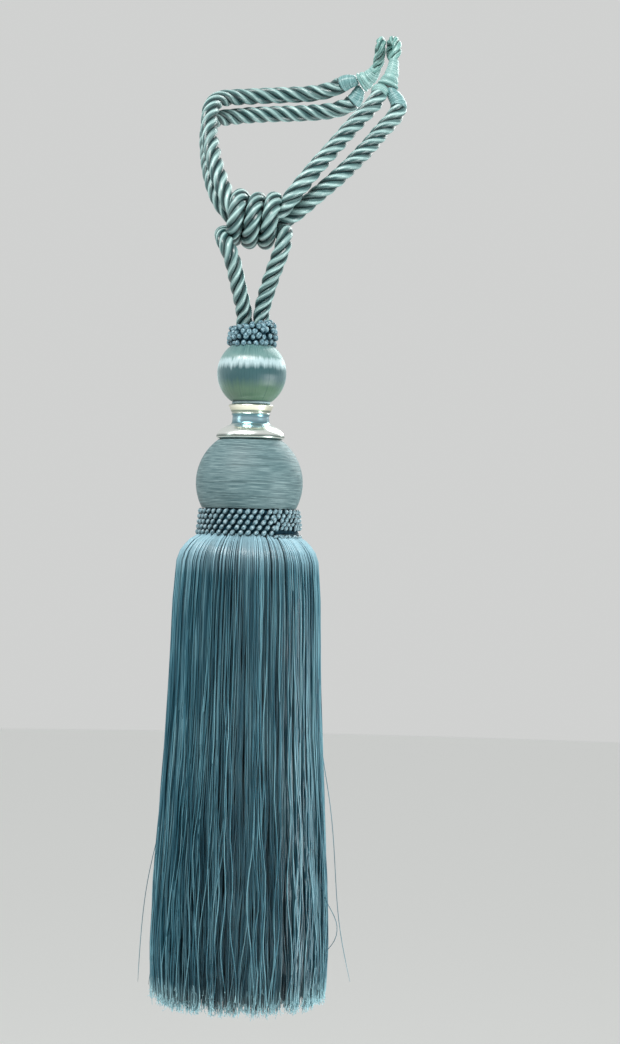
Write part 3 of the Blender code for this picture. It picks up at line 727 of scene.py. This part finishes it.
# The neck ring: a thin twisted cord laid once round the foot of the small ball, where its threads end.
COLLAR_TOP = -0.1751
NECK_RING_R = 0.0082
NECK_RING_D = 0.0013
NECK_RING_LAY = 0.0042
RING_POINTS = 180
ring_turn = math.tau * np.arange(RING_POINTS) / RING_POINTS
ring_z = np.full(RING_POINTS, (BALL_1_Z - BALL_1_CUT + COLLAR_TOP) / 2.0)
ring_line = (np.stack((TASSEL_X + NECK_RING_R * np.sin(ring_turn), TASSEL_Y + NECK_RING_R * np.cos(ring_turn),
                       ring_z), -1),
             np.stack((np.cos(ring_turn), -np.sin(ring_turn), np.zeros(RING_POINTS)), -1))
ring_length = math.tau * NECK_RING_R
trim_satin = satin_thread(
    "trim_satin", ((0.300, 0.450, 0.500), (0.450, 0.610, 0.660), (0.620, 0.760, 0.790)),
    (0.020, 0.060, 0.075), (1.2, 4.0), 0.00003, 0.30)
neck_cord = lay_up("neck_cord", ring_line, NECK_RING_D, 3, ring_length / round(ring_length / NECK_RING_LAY),
                   trim_satin, closed=True)
# The neck core, in the near-black core yarn, is painted shade in the gap between ball and collar.
neck_sides = ((0.0060, BALL_1_Z - BALL_1_CUT), (0.0060, COLLAR_TOP))
hang_on_root(turned_core("neck_core", neck_sides, painted_shade_core), "braid_yarn")
hang_on_root(neck_cord, "braid_yarn", "neck_ring")


# The collar: a turned and polished metal spool, flared at both ends, that the tassel's cord runs through.
# Its foot sits on the big ball like a bell.
COLLAR_FORM = metres(       # radius and drop below its top
    (40, 0), (94, 0), (100, 1), (104, 6), (102, 10), (96, 22), (90, 33), (87, 40), (89, 44), (86, 49),
    (85, 62), (86, 76), (88, 85), (92, 91), (102, 97), (120, 105), (138, 116), (150, 128), (156, 141),
    (157, 149), (155, 154), (150, 157), (144, 158), (60, 158),
)
COLLAR_STEP = 0.00022
LATHE_RINGS = (40.0, 40.0, 5200.0)      # how fine the lathe's marks are along x, y and z
LATHE_DEPTH = 0.000004
PAINTED_METAL_REFLECTIONS = (         # how far down the collar, and the colour there: painted reflections, with thin lines of painted shade
    (0.0, (0.36, 0.42, 0.36)), (0.05, (0.94, 0.92, 0.80)), (0.15, (0.88, 0.87, 0.70)),
    (0.205, (0.14, 0.20, 0.17)), (0.24, (0.62, 0.66, 0.56)), (0.30, (0.13, 0.28, 0.33)),
    (0.42, (0.40, 0.58, 0.65)), (0.55, (0.15, 0.30, 0.35)), (0.60, (0.66, 0.78, 0.76)),
    (0.68, (0.94, 0.98, 0.94)), (0.86, (0.97, 1.00, 0.97)), (0.93, (0.12, 0.18, 0.16)),
    (0.965, (0.80, 0.84, 0.79)),
)


def polished(name, painted_reflections, top, tall, gloss):
    """Plated metal with faint rings from polishing on the lathe, and painted reflections down from the top.
    """
    finish, tree, shader = new_finish(name)
    place = add_node(tree, "TexCoord", {}).outputs["Object"]
    rings = streaky_noise(tree, place, LATHE_RINGS, 3.0, 0.5)
    height = add_node(tree, "SeparateXYZ", {"Vector": place}).outputs["Z"]
    # The colour down the collar is painted reflection and painted shade.
    tint = shades_along(tree, scaled(tree, height, top, top - tall, 0.0, 1.0), painted_reflections)
    raised = add_node(tree, "Bump", {"Distance": LATHE_DEPTH, "Height": rings})
    set_sockets(tree, shader, {
        "Base Color": lay_over(tree, tint, (0.90, 0.92, 0.91), rings, "MULTIPLY"), "Metallic": 1.0,
        "Roughness": scaled(tree, rings, 0.0, 1.0, gloss, gloss + 0.12), "Normal": raised.outputs["Normal"],
    })
    return finish


def rounded(profile, step):
    """The profile's points every step along a smooth curve through them."""
    flat = [(radius, 0.0, -drop) for radius, drop in profile]
    line = smooth_route(flat, step)[0]
    return [(max(float(r), 0.001), float(z)) for r, _, z in line]


bright_metal = polished("bright_metal", PAINTED_METAL_REFLECTIONS, COLLAR_TOP, COLLAR_FORM[-1][1], 0.19)
collar_sides = [(radius, COLLAR_TOP + z) for radius, z in rounded(COLLAR_FORM, COLLAR_STEP)]
collar = turned_core("spool_collar", collar_sides, bright_metal, columns=128, crease=math.radians(60.0))
hang_on_root(collar, "polished_metal", "collar")


# The big ball: a larger wooden ball with matt thread wound round and round it, turn upon turn, a little
# uneven, so fine level lines show all over it.
BALL_2_Z = -0.2111
BALL_2_R = 0.0246
BALL_2_CUT_TOP = 0.0199
BALL_2_CUT_FOOT = 0.0118
BALL_2_PITCH = 0.00056
BALL_2_ROWS = 4         # rings of points to a turn
BALL_2_COLUMNS = 128
BALL_2_ROUND = 154.0    # the thread coordinate once round the ball
BALL_2_RELIEF = (0.00008, 0.00003, 0.00007)     # a turn's crown, its unevenness, the depth of a gap


def level_threads(name, finish):
    """The big ball's skin, with a low crown for each turn. The turns wander, and part here and there."""
    rng = np.random.default_rng(9)
    start, end = ball_arc(BALL_2_R, BALL_2_CUT_TOP, BALL_2_CUT_FOOT)
    rows = round((end - start) * BALL_2_R / BALL_2_PITCH * BALL_2_ROWS) + 1
    polar = np.linspace(start, end, rows)[:, None]
    place = (polar - start) * BALL_2_R / BALL_2_PITCH
    columns = np.arange(BALL_2_COLUMNS + 1)[None, :] / BALL_2_COLUMNS
    around = math.tau * columns[:, :-1]
    waves = sum(rng.uniform(0.05, 0.16) * np.sin(k * around + rng.uniform(0.0, 6.3)
                                                 + place * rng.uniform(-0.35, 0.35))
                for k in (1, 2, 3, 5, 7))
    turns = place + columns[:, :-1] + waves
    crown = np.abs(np.sin(math.pi * turns))
    number = np.floor(turns).astype(int)
    proud = rng.uniform(-1.0, 1.0, number.max() - number.min() + 2)[number - number.min()]
    patch = np.sin(2.0 * around + proud * 9.0)
    gap = (proud * patch > 0.55).astype(float)
    high, uneven, deep = BALL_2_RELIEF
    reach = BALL_2_R + high * (crown - 1.0) + uneven * proud * patch - deep * gap
    # Painted shade between the turns and down in the gaps.
    depth = np.clip((1.0 - crown) * 0.6 + 0.4 * gap, 0.0, 1.0)
    return turn(name, np.sin(polar) * reach, BALL_2_Z + np.cos(polar) * reach, place + columns,
                np.tile(columns * BALL_2_ROUND, (rows, 1)), depth, finish, BALL_CREASE)


ball_matt = satin_thread(
    "ball_matt", ((0.044, 0.096, 0.108), (0.078, 0.142, 0.154), (0.112, 0.186, 0.198), (0.180, 0.266, 0.278)),
    (0.018, 0.054, 0.062), (2.1, 11.0), 0.00005, 0.52, spread=0.12)
hang_on_root(level_threads("wound_ball", ball_matt), "big_ball_thread", "big_ball")


# The braid band: five rows of slanting yarn loops on a near-black core, which is painted shade for the
# gaps, glued once round the skirt's head. The end laps over the start at the right, with its last loops
# bunched and one row trailing below.
BAND_TOP = BALL_2_Z - BALL_2_CUT_FOOT - 0.0003
BAND_H = 0.0119
BAND_TOP_R = 0.0222
BAND_FOOT_R = 0.0233
BAND_ROWS = 5
BAND_LOOPS = 41
LOOP_SLANT = math.radians(50.0)
LOOP_SIZES = (0.00146, 0.00102, 0.00116)    # half length, half width, half height
LAP_FROM, LAP_TO = math.radians(33.0), math.radians(100.0)
LAP_ROWS = (0.08, 0.24, 0.40, 0.56, 0.70)   # how far down the band each row of the lapped end runs
LAP_LOOPS = 9
LAP_PROUD = 0.0006
TRAIL_LOOPS = 11        # the row that trails below the lapped end
TRAIL_SIZES = (0.0016, 0.0007, 0.0009)
# The seat, in the near-black core yarn, is painted shade in the joint under the ball.
BAND_SEAT = ((0.0200, BAND_TOP + 0.00028), (0.0200, BAND_TOP + 0.0001))     # fills the joint under the ball


def band_radius(share):
    return BAND_TOP_R + (BAND_FOOT_R - BAND_TOP_R) * share


def slanted_loop(theta, share, slant, sizes, lift=0.0, drop=0.0):
    out, right = outward(theta)
    ahead = right * math.cos(slant) + Vector((0.0, 0.0, math.sin(slant)))
    axis = Vector((TASSEL_X, TASSEL_Y, BAND_TOP - BAND_H * share - drop))
    middle = axis + out * (band_radius(share) + lift)
    return middle, ahead * sizes[0], out.cross(ahead) * sizes[1], out * sizes[2]


braid_yarn = satin_thread(
    "braid_yarn", ((0.060, 0.138, 0.170), (0.135, 0.236, 0.275), (0.275, 0.390, 0.435)),
    (0.001, 0.009, 0.016), (1.4, 2.5), 0.00008, 0.32, sink=0.6)
band_sides = [(band_radius(s) - 0.0006 - 0.0012 * abs(2.0 * s - 1.0) ** 6, BAND_TOP - BAND_H * s)
              for s in np.linspace(0.0, 1.0, 13)]
hang_on_root(turned_core("band_core", [*BAND_SEAT, *band_sides], painted_shade_core), "braid_yarn")
loops = []
for row in range(BAND_ROWS):
    share = 0.10 + 0.80 * row / (BAND_ROWS - 1)
    for k in range(BAND_LOOPS):
        theta = math.tau * (k - 0.45 * row + shaker.uniform(-0.07, 0.07)) / BAND_LOOPS
        turned_to = (theta + math.pi) % math.tau - math.pi
        if LAP_FROM < turned_to < LAP_TO:
            continue
        sizes = [s * shaker.uniform(0.92, 1.08) for s in LOOP_SIZES]
        loops.append(slanted_loop(theta, share, LOOP_SLANT + shaker.uniform(-0.12, 0.12), sizes))
for row, share in enumerate(LAP_ROWS):
    for k in range(LAP_LOOPS):
        place = (k + 0.5 * (row % 2) + shaker.uniform(-0.2, 0.2)) / (LAP_LOOPS - 0.5)
        sizes = [s * shaker.uniform(0.75, 1.15) for s in LOOP_SIZES]
        slant = shaker.uniform(0.5, 1.5)
        loops.append(slanted_loop(LAP_FROM + (LAP_TO - LAP_FROM) * place, share, slant, sizes, LAP_PROUD))
for k in range(TRAIL_LOOPS):
    theta = LAP_FROM + (LAP_TO - LAP_FROM) * k / (TRAIL_LOOPS - 1.0)
    loops.append(slanted_loop(theta, 1.0, 0.5 * (-1) ** k, TRAIL_SIZES, LAP_PROUD, 0.0004))
hang_on_root(many_knobs("band_loops", loops, knob_form(9, 12), braid_yarn), "braid_yarn", "braid_band")


# The skirt: about two and a half thousand twisted threads, sewn side by side into a ring at the top and left
# to hang. They part into soft locks, with dark gaps where the threads further in carry painted shade, cross
# low down, and are cut level, with pale frayed ends. Over the shoulder under the band they carry a painted
# highlight.
SKIRT_HEAD = BAND_TOP - BAND_H
SKIRT_FOOT = -0.4470      # the frayed ends reach some 3 mm lower
SKIRT_DROP = SKIRT_HEAD - SKIRT_FOOT
SKIRT_OUTLINE = (       # drop below the band and radius, mm
    (0.0, 22.4), (2.5, 26.4), (6.5, 30.0), (11.0, 31.8), (29.5, 33.2), (75.0, 34.4), (122.0, 36.8),
    (160.0, 39.0), (191.0, 39.8), (214.0, 38.8),
)
THREAD_DROPS = (-0.6, 0.9, 2.4, 4.6, 7.6, 12.0, 20.0, 30.0, 40.0, 50.0, 60.0, 70.0, 80.0, 90.0, 99.0, 108.0,
                117.0, 126.0, 134.0, 142.0, 150.0, 158.0, 166.0, 173.0, 180.0, 187.0, 194.0)
LOCKS = 118
OUTER_THREADS = 800     # in each of two layers
OUTER_R = 0.00034
INNER_THREADS = 620
INNER_R = 0.00042
CORE_THREADS = 260
CORE_R = 0.00060
OUTER_BACK = 0.0030     # how far in the outer threads may lie
CUT_UNEVEN = 0.0048     # the shears leave the threads this uneven, and one in ten shorter still
CUT_SHORT = 0.0060
END_MM = 5.0            # the last stretch of each thread
LOOSE_SHARE = 0.12      # threads that lie over the others, and how far they stand proud of them
LOOSE_PROUD = 0.0006
LOCK_SHADES = 0.05      # how far the threads of one lock differ in shade


def skirt_radius(drops_mm):
    drops, radii = zip(*SKIRT_OUTLINE)
    return np.interp(drops_mm, drops, radii) * 0.001


def hang_threads(name, middles, radius, numbers, finish, lengths, depths, taper=1.0):
    """Three-sided threads as one mesh, from each thread's stations, shade number, run and depth inside."""
    count, stations = middles.shape[:2]
    heads = np.gradient(middles, axis=1)
    heads /= np.linalg.norm(heads, axis=2, keepdims=True)
    apart = middles - np.array((TASSEL_X, TASSEL_Y, 0.0))
    level = np.stack((-apart[..., 1], apart[..., 0], np.zeros_like(apart[..., 0])), -1)
    level -= heads * (level * heads).sum(-1, keepdims=True)
    level /= np.maximum(np.linalg.norm(level, axis=2, keepdims=True), 1e-9)
    proud = np.cross(heads, level)
    thick = radius * np.interp(np.linspace(0.0, 1.0, stations), (0.0, 0.9, 1.0), (1.0, 1.0, taper))
    angles = np.array((math.pi / 2.0, math.pi * 7.0 / 6.0, math.pi * 11.0 / 6.0))
    corners = (middles[:, :, None, :]
               + level[:, :, None, :] * (np.cos(angles)[None, None, :, None] * thick[None, :, None, None])
               + proud[:, :, None, :] * (np.sin(angles)[None, None, :, None] * thick[None, :, None, None]))
    shade = np.broadcast_to(numbers[:, None, None] * 9.0 + np.array((0.0, 0.2, 0.4)), (count, stations, 3))
    run = np.broadcast_to(lengths[:, :, None] * 1000.0, (count, stations, 3))

    def on_faces(values):
        """What each point holds, at the corners of the side faces and of the end faces."""
        low, high = values[:, :-1], values[:, 1:]
        sides = np.stack((low, np.roll(low, -1, 2), np.roll(high, -1, 2), high), -1).reshape(-1, 4)
        return sides, np.concatenate((values[:, 0, ::-1], values[:, -1, :]))

    sides, ends = on_faces(np.arange(count * stations * 3).reshape(count, stations, 3))
    u, v = (np.concatenate([part.ravel() for part in on_faces(values)]) for values in (shade, run))
    # The depth inside sets each thread's painted shade.
    depth = np.broadcast_to(depths[:, :, None], (count, stations, 3)).ravel()
    return knit_mesh(name, corners.reshape(-1, 3), sides.tolist() + ends.tolist(), u, v, depth, finish,
                     math.radians(180.0))


def thread_middles(rng, count, spread, back, wander, stops=THREAD_DROPS):
    """Threads that hang in locks: their stations, how far each has fallen, its depth inside and its shade.

    spread is a thread's share of the outline, back how far in it may lie, and wander how far its lock and
    the thread by itself stray sideways.
    """
    cut = SKIRT_DROP - rng.uniform(0.0, CUT_UNEVEN, count) - CUT_SHORT * (rng.uniform(0, 1, count) > 0.90)
    cut = cut * 1000.0
    drops = np.concatenate((np.tile(np.array(stops), (count, 1)), (cut - END_MM)[:, None], cut[:, None]), 1)
    share = np.maximum(drops, 0.0) / (SKIRT_DROP * 1000.0)
    lock_turn = math.tau * np.arange(LOCKS) / LOCKS
    lock = rng.integers(0, LOCKS, count)
    phases = rng.uniform(0.0, math.tau, (LOCKS, 4))
    sway = (np.sin(phases[lock][:, :1] + share * 3.3) * 0.9 + np.sin(phases[lock][:, 1:2] + share * 6.7) * 0.5
            + np.sin(phases[lock][:, 2:3] + share * 12.0) * 0.32)
    own = rng.uniform(0.0, math.tau, (count, 3))
    loose = (rng.uniform(0.0, 1.0, count) < LOOSE_SHARE)[:, None]
    waves = rng.uniform(0.75, 1.25, (count, 1)) * share
    stray = (np.sin(own[:, :1] + waves * 4.2) * 0.75 + np.sin(own[:, 1:2] + waves * 11.0) * 0.45
             + np.sin(own[:, 2:] + waves * 29.0) * 0.34) * np.where(loose, 1.7, 1.0)
    beside = rng.uniform(-0.5, 0.5, count)[:, None] * (math.tau / LOCKS)
    gather = np.interp(share, (0.0, 0.10, 0.30, 0.75, 1.0), (1.0, 0.80, 0.50, 0.50, 0.85))
    reach = skirt_radius(drops) * spread
    drift = (sway * wander[0] + stray * wander[1]) * np.minimum(share, 1.0)
    theta = lock_turn[lock][:, None] + beside * gather + drift / np.maximum(reach, 0.004)
    lock_back = rng.uniform(0.0, 1.0, LOCKS)[lock][:, None]
    inside = np.where(loose, -LOOSE_PROUD, (lock_back * 0.6 + rng.uniform(0.0, 0.4, count)[:, None]) * back)
    wave = np.sin(own[:, 1:2] * 2.0 + waves * 17.0) * 0.0005 * share
    set_in = inside * np.interp(share, (0.0, 0.05, 1.0), (0.35, 0.8, 1.25))
    reach = np.maximum(reach - set_in + wave, 0.0004)
    middles = np.stack((TASSEL_X + reach * np.sin(theta), TASSEL_Y - reach * np.cos(theta),
                        SKIRT_HEAD - drops * 0.001), -1)
    shades = rng.uniform(0.0, 10.0, LOCKS)[lock] + rng.normal(0.0, LOCK_SHADES, count)
    # Painted shade: the further in a thread lies, the darker; loose ones on top stay the palest.
    depths = np.where(loose, 0.0, np.clip(0.12 + 0.88 * set_in / OUTER_BACK, 0.0, 1.0))
    return middles, drops * 0.001, depths, shades


# The first fade is a painted highlight over the shoulder under the band; the second, the pale frayed ends.
skirt_yarn = satin_thread(
    "skirt_yarn",
    ((0.007, 0.061, 0.090), (0.020, 0.097, 0.136), (0.044, 0.146, 0.190), (0.110, 0.252, 0.305)),
    (0.000, 0.022, 0.037), (1.3, 60.0), 0.00002, 0.30, spread=0.10, sink=0.9,
    fades=(((0.270, 0.440, 0.510), 0.9, 18.0, 5.0), ((0.300, 0.515, 0.570), 1.0, 201.0, 211.0)), ragged=13.0)
weaver = np.random.default_rng(21)
outer_tips, outer_ways = [], []
for label, nodes in (("over", ("skirt",)), ("under", ())):
    outer, fall, depths, shades = thread_middles(weaver, OUTER_THREADS, 1.0, OUTER_BACK, (0.0015, 0.0016))
    layer = hang_threads("skirt_threads_" + label, outer, OUTER_R, shades, skirt_yarn, fall, depths, 0.7)
    hang_on_root(layer, "skirt_yarn", *nodes)
    outer_tips.append(outer[:, -1])
    outer_ways.append(outer[:, -1] - outer[:, -3])
INNER_DROPS = THREAD_DROPS[:6] + THREAD_DROPS[6::3]
inner, fall, _, shades = thread_middles(weaver, INNER_THREADS, 0.90, 0.0075, (0.0010, 0.0010), INNER_DROPS)
# Painted shade on the lining, darker the further it hangs below the head.
depths = np.interp(fall, (0.0, 0.015, 0.050), (0.25, 0.50, 0.85))
hang_on_root(hang_threads("skirt_lining", inner, INNER_R, shades, skirt_yarn, fall, depths), "skirt_yarn")
core_spread = np.sqrt(weaver.uniform(0.02, 0.62, CORE_THREADS))[:, None]
core, fall, _, shades = thread_middles(weaver, CORE_THREADS, core_spread, 0.0010, (0.0006, 0.0008),
                                       INNER_DROPS[::2])
# Painted shade on the core threads.
depths = np.full_like(fall, 0.85)
hang_on_root(hang_threads("skirt_core", core, CORE_R, shades, skirt_yarn, fall, depths), "skirt_yarn")
# The sewn head, in the near-black core yarn, is painted shade under the band.
head_sides = ((0.0040, SKIRT_HEAD + 0.0004), (0.0219, SKIRT_HEAD + 0.0004), (0.0222, SKIRT_HEAD - 0.0008),
              (0.0216, SKIRT_HEAD - 0.0020), (0.0040, SKIRT_HEAD - 0.0022))
hang_on_root(turned_core("sewn_head", head_sides, painted_shade_core), "skirt_yarn")

# The skirt's cut ends: each outer thread untwists into a few fine hairs. A handful of single threads have
# worked loose and hang away from the rest, most of them at the right.
HAIRS = 2               # to a thread
HAIR_R = 0.00013
HAIR_FALLS = (0.212, 0.214, 0.216, 0.218)   # down where the yarn is palest
tips, way = np.concatenate(outer_tips), np.concatenate(outer_ways)
way /= np.linalg.norm(way, axis=1, keepdims=True)
hair_middles = []
for _ in range(HAIRS):
    bend = weaver.normal(0.0, 0.20, (len(tips), 3)) * np.array((1.0, 1.0, 0.4))
    reach = weaver.uniform(0.0008, 0.0030, (len(tips), 1))
    hair_middles.append(np.stack((tips - way * 0.0016, tips - way * 0.0002 + bend * reach * 0.25,
                                  tips + (way + bend) * reach * 0.6,
                                  tips + (way + bend * 1.8) * reach * 0.9), 1))
hairs = np.concatenate(hair_middles)
hair_fall = np.tile(HAIR_FALLS, (len(hairs), 1))
frayed = hang_threads("frayed_ends", hairs, HAIR_R, weaver.uniform(0.0, 10.0, len(hairs)), skirt_yarn,
                      hair_fall, np.zeros_like(hair_fall))
hang_on_root(frayed, "skirt_yarn")

STRAYS = (      # x, y, z of single loose threads, from where they leave the skirt
    metres((-262, -520, -3060), (-240, -530, -3300), (-196, -520, -3560), (-166, -500, -3850),
           (-140, -480, -4120), (-86, -460, -4380)),
    metres((-240, -500, -3870), (-203, -510, -4005), (-152, -500, -4115), (-158, -495, -4180),
           (-228, -490, -4270), (-270, -480, -4330)),
    metres((-930, -400, -3460), (-972, -440, -3700), (-1016, -470, -3920), (-1042, -480, -4160),
           (-1054, -470, -4400)),
    metres((-940, -300, -3860), (-976, -280, -4080), (-1000, -260, -4280), (-1020, -250, -4460)),
    metres((-640, -40, -3600), (-650, 0, -3900), (-690, 30, -4180), (-700, 44, -4440)),
)
STRAY_STATIONS = 24
STRAY_STEP = 0.0005
STRAY_R = 0.00019
stray_middles = []
for points in STRAYS:
    line = smooth_route(points, STRAY_STEP)[0]
    stray_middles.append(line[np.linspace(0, len(line) - 1, STRAY_STATIONS).round().astype(int)])
stray_fall = np.tile(np.linspace(0.08, 0.20, STRAY_STATIONS), (len(STRAYS), 1))
shades = weaver.uniform(0.0, 10.0, len(STRAYS))
strays = hang_threads("loose_threads", np.array(stray_middles), STRAY_R, shades, skirt_yarn, stray_fall,
                      np.zeros_like(stray_fall), 0.5)
hang_on_root(strays, "skirt_yarn")
